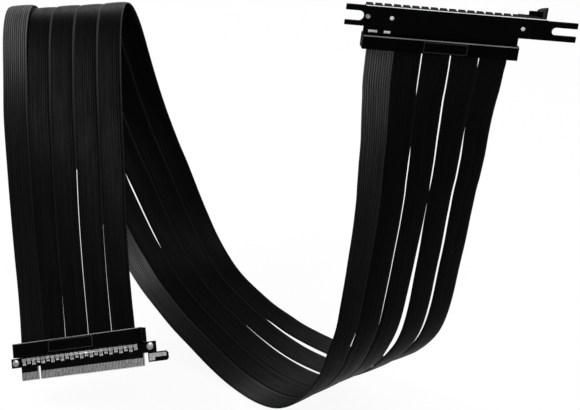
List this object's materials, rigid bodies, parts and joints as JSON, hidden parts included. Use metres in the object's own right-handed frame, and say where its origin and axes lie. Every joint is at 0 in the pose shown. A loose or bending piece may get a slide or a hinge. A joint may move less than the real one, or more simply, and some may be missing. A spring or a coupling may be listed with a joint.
{
  "type": "gpu riser cable",
  "caption": "Flat ribbon riser cable that joins a card-edge plug to a latched expansion slot socket, bent into an open loop.",
  "frame": {"origin": "on the back face of the socket's board, midway between its two open fixing slots", "axes": "+X along the socket from the left fixing slot to the right, +Y out of the slot's mouth, +Z from the ribbons towards the slot"},
  "size_m": [0.3261, 0.2507, 0.283],
  "materials": {
    "ribbon": "satin black ribbed cable jacket",
    "moulding": "fine-grained black moulding",
    "board": "black solder mask",
    "plating": "pale plated metal",
    "solder": "dull solder",
    "ceramic": "pale ceramic"
  },
  "bodies": {
    "cable": {"ribbon_1": "ribbon", "ribbon_2": "ribbon", "ribbon_3": "ribbon", "ribbon_4": "ribbon", "ribbon_5": "ribbon", "plug_board": "board", "plug_contacts_front_short": "plating", "plug_contacts_front_long": "plating", "plug_solder_front": "solder", "plug_clamp_front": "moulding", "socket_clamp_front": "moulding", "plug_contacts_back_short": "plating", "plug_contacts_back_long": "plating", "plug_solder_back": "solder", "plug_clamp_back": "moulding", "socket_clamp_back": "moulding", "plug_rivet_left": "plating", "plug_rivet_right": "plating", "socket_board": "board", "slot_housing": "moulding", "slot_contacts_lower_short": "plating", "slot_contacts_lower_long": "plating", "slot_contacts_upper_short": "plating", "slot_contacts_upper_long": "plating", "latch_pin": "plating", "slot_peg_key": "plating", "slot_peg_end": "plating", "board_eyelet": "plating", "capacitor_long": "ceramic", "capacitor_short": "ceramic"},
    "latch": {"slot_latch": "moulding"}
  },
  "joints": [
    {"name": "latch_turn", "type": "hinge", "parent": "cable", "child": "latch", "pos_m": [0.0476, 0.0077, 0], "axis": [0, 0, -1], "range_deg": [0, 22]}
  ]
}
